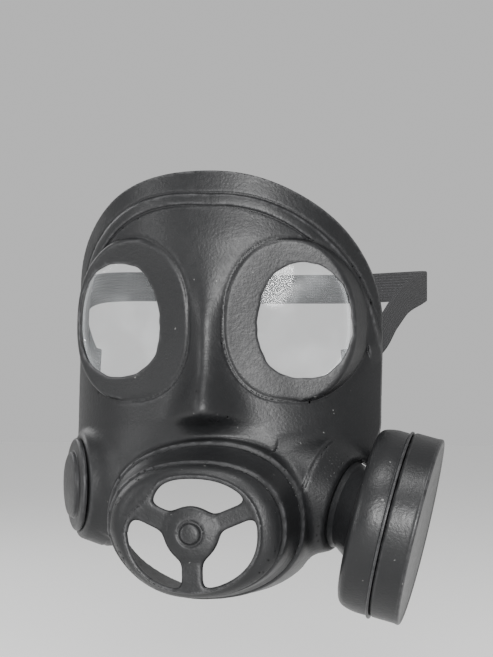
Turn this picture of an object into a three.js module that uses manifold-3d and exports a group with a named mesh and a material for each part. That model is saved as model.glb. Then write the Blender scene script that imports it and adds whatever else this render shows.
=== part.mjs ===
// A costume mask in the form of a gas mask: one soft moulding over forehead, cheeks and chin.
// Millimetres. X to the wearer's left, Y from the nose into the head, Z up.
// The origin is the inner side of the nose bridge, midway between the eyes.
import * as THREE from 'three';
import { mergeVertices } from 'three/addons/utils/BufferGeometryUtils.js';
import Module from 'manifold-3d';

const wasm = await Module();
wasm.setup();

// Face piece
const wall = 2;
const faceHalfWidth = 69;
const foreheadHeight = 65;
const cheekDrop = 45;
const chinDrop = 121;
const foreheadPower = 2.25;
const jawPower = 1.7;
const hemRoom = 7.5;
const headRound = faceHalfWidth + hemRoom;
const faceLean = 3;
const noseHeight = 14;
const noseHalfWidth = 12;
const browInset = 12.8;
const browWidth = 5;
const browRise = 1.3;

// Eyes
const eyeSpacing = 83;
const eyeDepth = 11;
const eyeTurn = THREE.MathUtils.degToRad(16.3);
const eyeHalfWidth = 19.6;
const eyeHalfHeight = 25;
const eyePower = 2.25;
const eyeTaper = 0.06;
const flangeInnerBand = 15;
const flangeOuterBand = 1.6;
const flangeEndBand = 11;
const flangeDepth = 27;
const flangeDraft = 3;
const flangeChamfer = 1.2;
const lensThickness = 0.4;
const lensLap = 3;
const clearance = 0.3;

// Snout and its grille
const snoutShift = 1.5;
const snoutDrop = 91;
const snoutReach = 31;
const snoutHalfWidth = 41;
const snoutHalfHeight = 31;
const snoutPower = 2.2;
const mouthHalfWidth = 29;
const mouthHalfHeight = 24;
const hubRadius = 12;
const hubThickness = 4.5;
const buttonRadius = 4.5;
const buttonRise = 1.6;
const spokeThickness = 3.4;

// Side bosses, the cap on one and the filter drum on the other
const bossRadius = 27;
const bossEnd = 22;
const neckBossEnd = 20.5;
const bossLength = 11;
const bossRoot = 18;
const bossChamfer = 1;
const capRadius = 21;
const capThickness = 2.6;
const capStepRadius = 15;
const capStepThickness = 2.2;
const collarRadius = 17;
const collarLength = 2.5;
const neckRadius = 13;
const drumInnerRadius = 40.6;
const drumOuterRadius = 41.4;
const drumThickness = 28.5;
const drumSeam = 15.5;
const drumEdge = 1.5;
const drumWall = 2;
const drumFillet = 5.5;
const beadRise = 0.8;
const beadWidth = 1.3;
const drumTilt = THREE.MathUtils.degToRad(13.5);
const drumBack = THREE.MathUtils.degToRad(5.7);
const capForward = THREE.MathUtils.degToRad(26);
const neckForward = THREE.MathUtils.degToRad(8);
const neckTilt = THREE.MathUtils.degToRad(16);
const capInset = 5.5;
const capProud = 5.9;
const capRise = 17.5;
const neckInset = 11.7;
const neckBack = 21;
const neckRise = 10.5;
const drumSide = 8.1;
const drumFront = 11;
const drumDrop = 4.6;

// Strap round the back of the head
const strapWidth = 14;
const strapThickness = 1.4;
const templeRoom = 8;
const headHalfWidth = faceHalfWidth + templeRoom;
const headLength = 191;
const strapRise = 16;
const strapDrop = 20;

// Facets
const outlineSteps = 60;
const faceRings = 13;
const eyeSteps = 36;
const snoutSteps = 40;
const turnSteps = 40;
const beadSteps = 36;
const strapSteps = 26;

const rubberColour = { color: 0x3a3b3d, roughness: 0.62, metalness: 0 };
const drumColour = { color: 0x343536, roughness: 0.5, metalness: 0 };
const filmColour = { color: 0xdfe4e6, roughness: 0.08, metalness: 0 };
const elasticColour = { color: 0x17181a, roughness: 0.9, metalness: 0 };

// Smooth value of one column of a table whose rows run along its "at" column.
function smooth(rows, column, at) {
  const last = rows.length - 1;
  if (at <= rows[0].at) return rows[0][column];
  if (at >= rows[last].at) return rows[last][column];
  const next = rows.findIndex((row) => row.at >= at);
  const from = rows[next - 1];
  const to = rows[next];
  const before = rows[Math.max(next - 2, 0)];
  const after = rows[Math.min(next + 1, last)];
  const span = to.at - from.at;
  const t = (at - from.at) / span;
  const leaving = (span * (to[column] - before[column])) / (to.at - before.at);
  const arriving = (span * (after[column] - from[column])) / (after.at - from.at);
  const rise = to[column] - from[column];
  const cubic = leaving + arriving - 2 * rise;
  const square = 3 * rise - 2 * leaving - arriving;
  return from[column] + t * (leaving + t * (square + t * cubic));
}

// Face sections at shares of the forehead height above and of the chin drop below. Each is part of
// a rounded curve: how far its middle lies back, its half width and its depth, as shares of the
// head's roundness, and how square it is.
const faceRows = [
  { at: -1, back: 0.3, wide: 0.6, deep: 0.6, square: 2 },
  { at: -0.86, back: 0.08, wide: 0.68, deep: 0.62, square: 2.6 },
  { at: -0.66, back: 0, wide: 0.84, deep: 0.7, square: 3.2 },
  { at: -0.5, back: 0.015, wide: 0.93, deep: 0.85, square: 2.7 },
  { at: -0.37, back: 0.03, wide: 0.97, deep: 0.95, square: 2.3 },
  { at: 0, back: 0.035, wide: 1, deep: 1, square: 2 },
  { at: 0.5, back: 0.03, wide: 1, deep: 1, square: 2 },
  { at: 0.75, back: 0.06, wide: 1, deep: 1, square: 2 },
  { at: 1, back: 0.09, wide: 1, deep: 1, square: 2 },
];

// Nose ridge, at shares of the chin drop: its rise and its half width.
const nose = [
  { at: -0.5, rise: 0, wide: 1.5 },
  { at: -0.43, rise: 0.08, wide: 1.35 },
  { at: -0.385, rise: 0.35, wide: 1.2 },
  { at: -0.345, rise: 0.95, wide: 1.05 },
  { at: -0.3, rise: 1, wide: 0.95 },
  { at: -0.2, rise: 0.65, wide: 0.75 },
  { at: -0.08, rise: 0.4, wide: 0.65 },
  { at: 0, rise: 0.34, wide: 0.65 },
  { at: 0.12, rise: 0, wide: 0.7 },
];

// Depth of the face's outer side at a point of the front view.
function faceDepth(x, z) {
  const share = z > 0 ? z / foreheadHeight : z / chinDrop;
  const square = smooth(faceRows, 'square', share);
  const across = Math.min(Math.abs(x) / (headRound * smooth(faceRows, 'wide', share)), 0.97);
  const round = headRound * smooth(faceRows, 'deep', share) * (1 - (1 - across ** square) ** (1 / square));
  const noseShare = z / chinDrop;
  const wide = noseHalfWidth * smooth(nose, 'wide', noseShare);
  const ridge = noseHeight * smooth(nose, 'rise', noseShare) * Math.exp(-((x / wide) ** 2));
  return round + headRound * smooth(faceRows, 'back', share) - ridge;
}

function facePoint(x, z, depthIn) {
  const step = 0.5;
  const slopeX = (faceDepth(x + step, z) - faceDepth(x - step, z)) / (2 * step);
  const slopeZ = (faceDepth(x, z + step) - faceDepth(x, z - step)) / (2 * step);
  const inward = new THREE.Vector3(-slopeX, 1, -slopeZ).normalize();
  return new THREE.Vector3(x, faceDepth(x, z), z).addScaledVector(inward, depthIn);
}

// Hem of the face piece in the front view: a high arch, straight cheeks and a narrower chin.
const faceCentre = -0.31 * chinDrop;
function hemPoint(turn) {
  const side = Math.sin(turn);
  const up = Math.cos(turn);
  const power = up > 0 ? foreheadPower : jawPower;
  const from = up > 0 ? 0 : -cheekDrop;
  const height = up > 0 ? foreheadHeight : chinDrop - cheekDrop;
  let near = 0;
  let far = 2 * chinDrop;
  for (let i = 0; i < 40; i += 1) {
    const reach = (near + far) / 2;
    const x = reach * side;
    const z = faceCentre + reach * up;
    const past = up > 0 ? z - from : from - z;
    const tall = past > 0 ? (past / height) ** power : 0;
    const lean = (faceLean * Math.max(z, 0)) / foreheadHeight;
    const inside = (Math.abs(x + lean) / faceHalfWidth) ** power + tall < 1;
    if (inside) near = reach;
    else far = reach;
  }
  return [near * side, faceCentre + near * up];
}

// Closed body between a front and a back sheet, each given at a share of the way to the hem.
function sheetBody(front, back) {
  const points = [];
  const faces = [];
  const sheets = [front, back];
  sheets.forEach((sheet, side) => {
    const first = points.length;
    points.push(sheet(0, 0));
    for (let ring = 1; ring <= faceRings; ring += 1) {
      for (let i = 0; i < outlineSteps; i += 1) {
        points.push(sheet(ring / faceRings, (2 * Math.PI * i) / outlineSteps));
      }
    }
    const ringStart = (ring) => first + 1 + (ring - 1) * outlineSteps;
    const at = (ring, i) => (ring === 0 ? first : ringStart(ring) + (i % outlineSteps));
    for (let ring = 0; ring < faceRings; ring += 1) {
      for (let i = 0; i < outlineSteps; i += 1) {
        const quad = [at(ring, i), at(ring, i + 1), at(ring + 1, i + 1), at(ring + 1, i)];
        if (side === 1) quad.reverse();
        addQuad(faces, quad);
      }
    }
  });
  const half = points.length / 2;
  const rim = half - outlineSteps;
  for (let i = 0; i < outlineSteps; i += 1) {
    const next = (i + 1) % outlineSteps;
    addQuad(faces, [rim + i, rim + next, half + rim + next, half + rim + i]);
  }
  return solid(points, faces);
}

function addQuad(faces, [a, b, c, d]) {
  if (a !== b && b !== c && a !== c) faces.push(a, b, c);
  if (a !== c && c !== d && a !== d) faces.push(a, c, d);
}

// Closed body through a stack of rings of equal count, each end closed round its middle.
function ringBody(rings) {
  const count = rings[0].length;
  const points = rings.flat();
  const faces = [];
  for (let ring = 0; ring < rings.length - 1; ring += 1) {
    for (let i = 0; i < count; i += 1) {
      const next = (i + 1) % count;
      const low = ring * count;
      const high = low + count;
      addQuad(faces, [low + i, low + next, high + next, high + i]);
    }
  }
  [0, rings.length - 1].forEach((ring) => {
    const middle = rings[ring].reduce((sum, p) => sum.add(p), new THREE.Vector3());
    points.push(middle.divideScalar(count));
    for (let i = 0; i < count; i += 1) {
      const edge = [ring * count + ((i + 1) % count), ring * count + i];
      if (ring > 0) edge.reverse();
      faces.push(points.length - 1, ...edge);
    }
  });
  return solid(points, faces);
}

function solid(points, faces) {
  const vertProperties = new Float32Array(points.flatMap((p) => [p.x, p.y, p.z]));
  const bodyOf = (list) => {
    const triVerts = new Uint32Array(list);
    return new wasm.Manifold(new wasm.Mesh({ numProp: 3, vertProperties, triVerts }));
  };
  const body = bodyOf(faces);
  if (body.volume() > 0) return body;
  const turned = [];
  for (let i = 0; i < faces.length; i += 3) turned.push(faces[i], faces[i + 2], faces[i + 1]);
  return bodyOf(turned);
}

function solidOf(geometry, matrix) {
  const bare = geometry.clone();
  bare.deleteAttribute('normal');
  bare.deleteAttribute('uv');
  const merged = mergeVertices(bare.applyMatrix4(matrix), 1e-4);
  const place = merged.attributes.position;
  const points = [];
  for (let i = 0; i < place.count; i += 1) {
    points.push(new THREE.Vector3().fromBufferAttribute(place, i));
  }
  return solid(points, Array.from(merged.index.array));
}

function joined(bodies) {
  return bodies.reduce((sum, body) => sum.add(body));
}

// Egg outline in the front view, narrower at its top.
function egg(halfWide, halfTall, steps, power, taper) {
  return Array.from({ length: steps }, (_, i) => {
    const turn = (2 * Math.PI * i) / steps;
    const across = Math.sign(Math.cos(turn)) * Math.abs(Math.cos(turn)) ** (2 / power);
    const up = Math.sign(Math.sin(turn)) * Math.abs(Math.sin(turn)) ** (2 / power);
    return [halfWide * across * (1 - taper * up), halfTall * up];
  });
}

// Depth of the flat front of an eye surround.
function eyePlane(x) {
  return eyeDepth + Math.tan(eyeTurn) * (Math.abs(x) - eyeSpacing / 2);
}

// Ring round an eye: bands beyond the hole towards the nose, the temple and both ends.
function eyeRing(side, bands, depth, grow = 0) {
  const inner = eyeSpacing / 2 - eyeHalfWidth - bands.inner;
  const outer = eyeSpacing / 2 + eyeHalfWidth + bands.outer;
  const middle = (inner + outer) / 2;
  const halfWide = (outer - inner) / 2 + grow;
  const halfTall = eyeHalfHeight + bands.ends + grow;
  const outline = egg(halfWide, halfTall, eyeSteps, eyePower, eyeTaper);
  return outline.map(([x, z]) => {
    const across = middle + x;
    return new THREE.Vector3(side * across, eyePlane(across) + depth, z);
  });
}

const flangeBands = { inner: flangeInnerBand, outer: flangeOuterBand, ends: flangeEndBand };
const holeBands = { inner: 0, outer: 0, ends: 0 };

function flangeOutside(side) {
  return ringBody([
    eyeRing(side, flangeBands, 0, -flangeChamfer),
    eyeRing(side, flangeBands, flangeChamfer),
    eyeRing(side, flangeBands, flangeDepth, flangeDraft),
  ]);
}

function flangeInside(side) {
  return ringBody([
    eyeRing(side, flangeBands, wall, -wall),
    eyeRing(side, flangeBands, 1.5 * flangeDepth, 1.5 * flangeDraft - wall),
  ]);
}

function eyeHole(side) {
  return ringBody([eyeRing(side, holeBands, -flangeDepth), eyeRing(side, holeBands, flangeDepth)]);
}

// Snout sections from the mouth's rim back to the face: shares of its reach, half width and half height.
const snoutRows = [
  { at: 1, wide: 0.8, tall: 0.88 },
  { at: 0.93, wide: 0.87, tall: 0.93 },
  { at: 0.78, wide: 0.925, tall: 0.97 },
  { at: 0.76, wide: 0.955, tall: 1.0 },
  { at: 0.45, wide: 1.0, tall: 1.06 },
  { at: 0.25, wide: 1.03, tall: 1.16 },
  { at: 0.22, wide: 1.065, tall: 1.22 },
  { at: -0.2, wide: 1.1, tall: 1.26 },
  { at: -0.8, wide: 1.1, tall: 1.26 },
];

// The snout's sections share a chin line: they grow upwards only.
function snoutRing(row, thinner, shift) {
  const floor = -chinDrop + 0.5 * thinner;
  const halfTall = snoutHalfHeight * row.tall - thinner / 2;
  const bottom = row.at > 0.9 ? -snoutDrop - halfTall : Math.max(floor, -snoutDrop - halfTall);
  const top = -snoutDrop + snoutHalfHeight * row.tall - thinner;
  const middle = (top + bottom) / 2;
  const outline = egg(snoutHalfWidth * row.wide - thinner, (top - bottom) / 2, snoutSteps, snoutPower, 0);
  const y = -snoutReach * row.at + shift;
  return outline.map(([x, z]) => new THREE.Vector3(snoutShift + x, y, middle + z));
}

const snoutOutside = () => ringBody(snoutRows.map((row) => snoutRing(row, 0, 0)));
const snoutInside = () => ringBody(snoutRows.map((row) => snoutRing(row, wall, wall)));

function mouthHole() {
  const outline = egg(mouthHalfWidth, mouthHalfHeight, snoutSteps, snoutPower, 0);
  const ringAt = (y) => outline.map(([x, z]) => new THREE.Vector3(snoutShift + x, y, z - snoutDrop));
  return ringBody([ringAt(-2 * snoutReach), ringAt(0)]);
}

// Solid of revolution: profile rows of [radius, distance], set along an axis from a foot point.
function turned(profile, foot, axis) {
  const points = profile.map(([radius, along]) => new THREE.Vector2(radius, along));
  const spin = new THREE.Quaternion().setFromUnitVectors(new THREE.Vector3(0, 1, 0), axis);
  const place = new THREE.Matrix4().compose(foot, spin, new THREE.Vector3(1, 1, 1));
  return solidOf(new THREE.LatheGeometry(points, turnSteps), place);
}

// Grille: hub with its button, and three spokes out to the rim.
const spokes = [
  { turn: 22.5, width: 7.8 },
  { turn: 159, width: 8 },
  { turn: 271.5, width: 9.2 },
];

function grille() {
  const front = new THREE.Vector3(0, -1, 0);
  const middle = new THREE.Vector3(snoutShift, -snoutReach + hubThickness / 2, -snoutDrop);
  const buttonTop = hubThickness + buttonRise;
  const hub = turned([
    [0, 0],
    [hubRadius, 0],
    [hubRadius, 0.7 * hubThickness],
    [0.85 * hubRadius, hubThickness],
    [0, hubThickness],
  ], middle, front);
  const button = turned([
    [0, 0],
    [buttonRadius, 0],
    [buttonRadius, hubThickness + 0.6 * buttonRise],
    [0.8 * buttonRadius, buttonTop],
    [0, buttonTop],
  ], middle, front);
  const bars = spokes.map(({ turn, width }) => {
    const angle = THREE.MathUtils.degToRad(turn);
    const across = Math.abs(Math.cos(angle) / mouthHalfWidth) ** snoutPower;
    const up = Math.abs(Math.sin(angle) / mouthHalfHeight) ** snoutPower;
    const reach = (across + up) ** (-1 / snoutPower) + wall;
    const place = new THREE.Matrix4().makeRotationY(-angle);
    const centre = new THREE.Vector3(reach / 2, -spokeThickness / 2, 0).applyMatrix4(place).add(middle);
    return solidOf(new THREE.BoxGeometry(reach, spokeThickness, width), place.setPosition(centre));
  });
  return joined([hub, button, ...bars]);
}

// Axes of the two bosses, and the middle of each boss's flat end.
function outward(side, back, down) {
  const level = new THREE.Vector3(side * Math.cos(back), Math.sin(back), 0);
  return level.multiplyScalar(Math.cos(down)).setZ(-Math.sin(down));
}

const capAxis = outward(-1, -capForward, 0);
const neckAxis = outward(1, -neckForward, neckTilt);
const drumAxis = outward(1, drumBack, drumTilt);
const capSide = faceHalfWidth - capInset;
const capBack = faceDepth(capSide, -cheekDrop) - capProud;
const capSeat = new THREE.Vector3(-capSide, capBack, capRise - snoutDrop);
const neckSeat = new THREE.Vector3(faceHalfWidth - neckInset, neckBack, neckRise - snoutDrop);
const drumSeat = neckSeat.clone().add(new THREE.Vector3(drumSide, -drumFront, -drumDrop));

function bossOutside(seat, axis, endRadius) {
  const root = -bossLength - bossRoot;
  return turned([
    [0, root],
    [bossRadius, root],
    [bossRadius, -bossLength],
    [endRadius + bossChamfer, -bossChamfer],
    [endRadius, 0],
    [0, 0],
  ], seat, axis);
}

function bossInside(seat, axis, endRadius) {
  const root = -bossLength - bossRoot + wall;
  const end = -bossChamfer - wall;
  return turned([
    [0, root],
    [bossRadius - wall, root],
    [bossRadius - wall, -bossLength],
    [endRadius - wall, end],
    [0, end],
  ], seat, axis);
}

// The cheek stands clear of the neck beyond the boss's end.
function neckRoom() {
  const room = collarRadius + 2 * clearance;
  return turned([[0, 0], [room, 0], [room, bossLength], [0, bossLength]], neckSeat, neckAxis);
}

// Raised rib across the brow, which runs down beside the eyes and out at the hem.
const browRows = [
  { at: 0, inset: 1 },
  { at: 0.3, inset: 0.85 },
  { at: 0.5, inset: 0.75 },
  { at: 0.7, inset: 0.6 },
  { at: 0.86, inset: 0.35 },
  { at: 1, inset: 0.12 },
];
const browTurn = THREE.MathUtils.degToRad(72);

function browRib() {
  const rings = [];
  for (let i = 0; i <= beadSteps; i += 1) {
    const share = (2 * i) / beadSteps - 1;
    const turn = share * browTurn;
    const [hemX, hemZ] = hemPoint(turn);
    const out = new THREE.Vector2(hemX, hemZ - faceCentre);
    const inset = browInset * smooth(browRows, 'inset', Math.abs(share));
    const section = [[-0.5, -0.8], [-0.32, 1], [0.32, 1], [0.5, -0.8]];
    rings.push(section.map(([across, rise]) => {
      const place = out.clone().setLength(out.length() - inset - across * browWidth);
      return facePoint(place.x, place.y + faceCentre, -rise * browRise);
    }));
  }
  return ringBody(rings);
}

function facePiece() {
  const outer = (share, turn) => {
    const [x, z] = hemPoint(turn);
    return facePoint(share * x, faceCentre + share * (z - faceCentre), 0);
  };
  const inner = (share, turn) => {
    const [x, z] = hemPoint(turn);
    return facePoint(share * x, faceCentre + share * (z - faceCentre), wall);
  };
  const behind = (share, turn) => {
    const place = inner(share, turn);
    return new THREE.Vector3(place.x, 2 * headRound, place.z);
  };
  const skin = sheetBody(outer, inner);
  const inside = sheetBody(inner, behind);
  const sides = [-1, 1];
  const raised = joined([
    ...sides.map(flangeOutside),
    snoutOutside(),
    bossOutside(capSeat, capAxis, bossEnd),
    bossOutside(neckSeat, neckAxis, neckBossEnd),
    browRib(),
  ]).subtract(inside);
  const hollow = joined([
    ...sides.map(flangeInside),
    ...sides.map(eyeHole),
    snoutInside(),
    mouthHole(),
    bossInside(capSeat, capAxis, bossEnd).subtract(snoutOutside()),
    bossInside(neckSeat, neckAxis, neckBossEnd).subtract(snoutOutside()),
    neckRoom(),
  ]);
  return skin.add(raised).subtract(hollow).add(grille());
}

// Clear film behind an eye hole.
function lens(side) {
  const bands = { inner: lensLap, outer: flangeOuterBand - wall - clearance, ends: lensLap };
  const front = wall + clearance;
  return ringBody([eyeRing(side, bands, front), eyeRing(side, bands, front + lensThickness)]);
}

// Stepped round cap on the boss at -X.
function sideCap() {
  const foot = capSeat.clone().addScaledVector(capAxis, clearance);
  const top = capThickness + capStepThickness;
  return turned([
    [0, 0],
    [capRadius, 0],
    [capRadius, 0.7 * capThickness],
    [0.95 * capRadius, capThickness],
    [capStepRadius, capThickness],
    [0.95 * capStepRadius, top],
    [0, top],
  ], foot, capAxis);
}

// Filter drum at +X: a neck from the boss, then two hollow halves that meet at the seam.
function canisterNeck() {
  const circle = (centre, axis, radius) => {
    const across = new THREE.Vector3().crossVectors(new THREE.Vector3(0, 0, 1), axis).normalize();
    const up = new THREE.Vector3().crossVectors(axis, across);
    return Array.from({ length: turnSteps }, (_, i) => {
      const turn = (2 * Math.PI * i) / turnSteps;
      const place = centre.clone().addScaledVector(across, radius * Math.cos(turn));
      return place.addScaledVector(up, radius * Math.sin(turn));
    });
  };
  const foot = neckSeat.clone().addScaledVector(neckAxis, clearance);
  const collarEnd = neckSeat.clone().addScaledVector(neckAxis, clearance + collarLength);
  const end = drumSeat.clone().addScaledVector(drumAxis, -clearance);
  return ringBody([
    circle(foot, neckAxis, collarRadius),
    circle(collarEnd, neckAxis, 0.94 * collarRadius),
    circle(end, drumAxis, neckRadius),
  ]);
}

const seamShare = drumSeam / drumThickness;
const seamRadius = drumInnerRadius + (drumOuterRadius - drumInnerRadius) * seamShare;

function canisterInner() {
  const room = seamRadius - drumWall;
  const corner = 0.3 * drumFillet;
  return turned([
    [0, 0],
    [drumInnerRadius - drumFillet, 0],
    [drumInnerRadius - corner, corner],
    [drumInnerRadius, drumFillet],
    [seamRadius, drumSeam - beadWidth],
    [seamRadius + beadRise, drumSeam - beadWidth],
    [seamRadius + beadRise, drumSeam],
    [room, drumSeam],
    [drumInnerRadius - drumWall, drumFillet],
    [drumInnerRadius - drumFillet, drumWall],
    [0, drumWall],
  ], drumSeat, drumAxis);
}

function canisterOuter() {
  const length = drumThickness - drumSeam;
  const room = seamRadius - drumWall;
  const foot = drumSeat.clone().addScaledVector(drumAxis, drumSeam + clearance);
  return turned([
    [room, 0],
    [seamRadius, 0],
    [drumOuterRadius, length - drumEdge],
    [drumOuterRadius - drumEdge, length],
    [0, length],
    [0, length - drumWall],
    [room, length - drumWall - drumEdge],
    [room, 0],
  ], foot, drumAxis);
}

// Half of the strap's route: along the inside of the face piece to the hem, then round the head in
// shares of the head's half width, of its length behind the hem and of the strap's rise.
const strapInset = wall + clearance + strapThickness / 2;
const strapFoot = facePoint(0.83 * faceHalfWidth, -strapDrop, strapInset);
const strapExit = facePoint(0.9 * faceHalfWidth, -0.92 * strapDrop, strapInset);
const roundHead = [
  { at: 0.15, wide: 0.88, long: 0.1, rise: -0.45 },
  { at: 0.22, wide: 0.925, long: 0.165, rise: 0.1 },
  { at: 0.32, wide: 0.97, long: 0.26, rise: 0.6 },
  { at: 0.48, wide: 1, long: 0.44, rise: 0.9 },
  { at: 0.64, wide: 0.93, long: 0.66, rise: 1 },
  { at: 0.8, wide: 0.7, long: 0.86, rise: 1 },
  { at: 0.91, wide: 0.35, long: 0.97, rise: 0.95 },
  { at: 1, wide: 0, long: 1, rise: 0.95 },
];
const strapRows = [
  { at: 0, side: strapFoot.x, back: strapFoot.y, up: strapFoot.z },
  { at: 0.05, side: strapExit.x, back: strapExit.y, up: strapExit.z },
  ...roundHead.map(({ at, wide, long, rise }) => ({
    at,
    side: wide * headHalfWidth,
    back: strapExit.y + long * (headLength - strapExit.y),
    up: rise * strapRise,
  })),
];

function headStrap() {
  const place = (share) => {
    const at = 1 - Math.abs(share);
    return new THREE.Vector3(
      Math.sign(share) * smooth(strapRows, 'side', at),
      smooth(strapRows, 'back', at),
      smooth(strapRows, 'up', at),
    );
  };
  const rings = [];
  for (let i = -strapSteps; i <= strapSteps; i += 1) {
    const share = i / strapSteps;
    const step = 0.01;
    const along = place(Math.min(share + step, 1)).sub(place(Math.max(share - step, -1))).normalize();
    const out = new THREE.Vector3(along.y, -along.x, 0).normalize();
    const up = new THREE.Vector3().crossVectors(along, out).normalize();
    const corners = [[-1, -1], [1, -1], [1, 1], [-1, 1]];
    rings.push(corners.map(([thick, wide]) => place(share)
      .addScaledVector(out, (thick * strapThickness) / 2)
      .addScaledVector(up, (wide * strapWidth) / 2)));
  }
  return ringBody(rings);
}

function meshOf(name, body, finish) {
  const { numProp, vertProperties, triVerts } = body.getMesh();
  const places = [];
  for (let i = 0; i < vertProperties.length; i += numProp) {
    places.push(vertProperties[i], vertProperties[i + 1], vertProperties[i + 2]);
  }
  const geometry = new THREE.BufferGeometry();
  geometry.setAttribute('position', new THREE.Float32BufferAttribute(places, 3));
  geometry.setIndex(Array.from(triVerts));
  geometry.computeVertexNormals();
  const mesh = new THREE.Mesh(geometry, new THREE.MeshStandardMaterial(finish));
  mesh.name = name;
  return mesh;
}

const mask = new THREE.Group();
mask.add(meshOf('face_piece', facePiece(), rubberColour));
mask.add(meshOf('lens_left', lens(1), filmColour));
mask.add(meshOf('lens_right', lens(-1), filmColour));
mask.add(meshOf('side_cap', sideCap(), rubberColour));
mask.add(meshOf('canister_neck', canisterNeck(), drumColour));
mask.add(meshOf('canister_inner', canisterInner(), drumColour));
mask.add(meshOf('canister_outer', canisterOuter(), drumColour));
mask.add(meshOf('head_strap', headStrap(), elasticColour));

export default mask;
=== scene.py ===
import math
import bmesh
import bpy
import numpy as np
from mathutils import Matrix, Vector


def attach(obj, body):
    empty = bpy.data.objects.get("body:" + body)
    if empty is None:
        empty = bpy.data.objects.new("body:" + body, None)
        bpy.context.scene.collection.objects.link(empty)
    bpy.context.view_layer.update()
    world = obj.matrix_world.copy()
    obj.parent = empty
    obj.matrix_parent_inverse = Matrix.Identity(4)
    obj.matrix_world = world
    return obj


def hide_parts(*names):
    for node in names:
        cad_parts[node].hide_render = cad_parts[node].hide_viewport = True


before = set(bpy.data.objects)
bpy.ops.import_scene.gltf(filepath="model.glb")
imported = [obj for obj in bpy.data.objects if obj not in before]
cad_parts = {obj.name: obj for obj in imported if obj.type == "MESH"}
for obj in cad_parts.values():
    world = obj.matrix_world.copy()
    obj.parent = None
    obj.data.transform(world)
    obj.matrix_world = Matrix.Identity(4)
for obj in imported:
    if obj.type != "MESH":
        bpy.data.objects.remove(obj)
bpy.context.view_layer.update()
toMetre = 0.001   # every size below is in millimetres
scene = bpy.context.scene

camera = {
    "target": (17.5, 4.05, -3.9),
    "distance": 1500,
    "azimuth": 13,
    "fieldHeight": 10.85,   # degrees
    "sensor": 24,
    "clip": (0.05, 30),
}


def makeCamera():
    turn = math.radians(camera["azimuth"])
    away = Vector((math.sin(turn), -math.cos(turn), 0)) * camera["distance"]
    data = bpy.data.cameras.new("camera")
    data.sensor_fit = "VERTICAL"
    data.sensor_height = camera["sensor"]
    data.lens = data.sensor_height / 2 / math.tan(math.radians(camera["fieldHeight"]) / 2)
    data.clip_start, data.clip_end = camera["clip"]
    holder = bpy.data.objects.new("camera", data)
    holder.location = (Vector(camera["target"]) + away) * toMetre
    holder.rotation_mode = "QUATERNION"
    holder.rotation_quaternion = (-away).to_track_quat("-Z", "Y")
    scene.collection.objects.link(holder)
    scene.camera = holder


studio = {
    "lamps": [   # name, place and diameter in metres, watts
        ("key", (0.42, -1.8, 0.3), 0.45, 52),
        ("left", (-1.5, -1.0, 0.5), 0.5, 9),
        ("top", (0.1, -0.8, 1.5), 0.6, 18),
        ("back", (-1.3, 0.9, 0.7), 0.8, 6),
    ],
    "aim": (0.01, 0.02, -0.03),
    "sky": (1, 1, 1),
    "skyStrength": 0.62,
    "floorDrop": -0.19,
    "floorSize": 8,
    "floorColour": (0.97, 0.97, 0.965),
    "floorRoughness": 0.8,
}


def makeStudio():
    for name, place, size, power in studio["lamps"]:
        data = bpy.data.lights.new(name, "AREA")
        data.shape = "DISK"
        data.size = size
        data.energy = power
        lamp = bpy.data.objects.new(name, data)
        lamp.location = place
        lamp.rotation_mode = "QUATERNION"
        lamp.rotation_quaternion = (Vector(studio["aim"]) - Vector(place)).to_track_quat("-Z", "Y")
        scene.collection.objects.link(lamp)
    world = scene.world or bpy.data.worlds.new("studio")
    scene.world = world
    world.use_nodes = True
    back = world.node_tree.nodes["Background"]
    back.inputs["Color"].default_value = (*studio["sky"], 1)
    back.inputs["Strength"].default_value = studio["skyStrength"]
    half, drop = studio["floorSize"] / 2, studio["floorDrop"]
    corners = [(-half, -half, drop), (half, -half, drop), (half, half, drop), (-half, half, drop)]
    floor = meshObject("floor", corners, [(0, 1, 2, 3)])
    material = bpy.data.materials.new("floorPale")
    material.use_nodes = True
    shader = material.node_tree.nodes["Principled BSDF"]
    shader.inputs["Base Color"].default_value = (*studio["floorColour"], 1)
    shader.inputs["Roughness"].default_value = studio["floorRoughness"]
    floor.data.materials.append(material)


def meshObject(name, points, faces, smooth=False):
    mesh = bpy.data.meshes.new(name)
    mesh.from_pydata([tuple(p) for p in points], [], [tuple(f) for f in faces])
    mesh.update()
    if smooth:
        mesh.shade_smooth()
    made = bpy.data.objects.new(name, mesh)
    scene.collection.objects.link(made)
    return made


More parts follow.
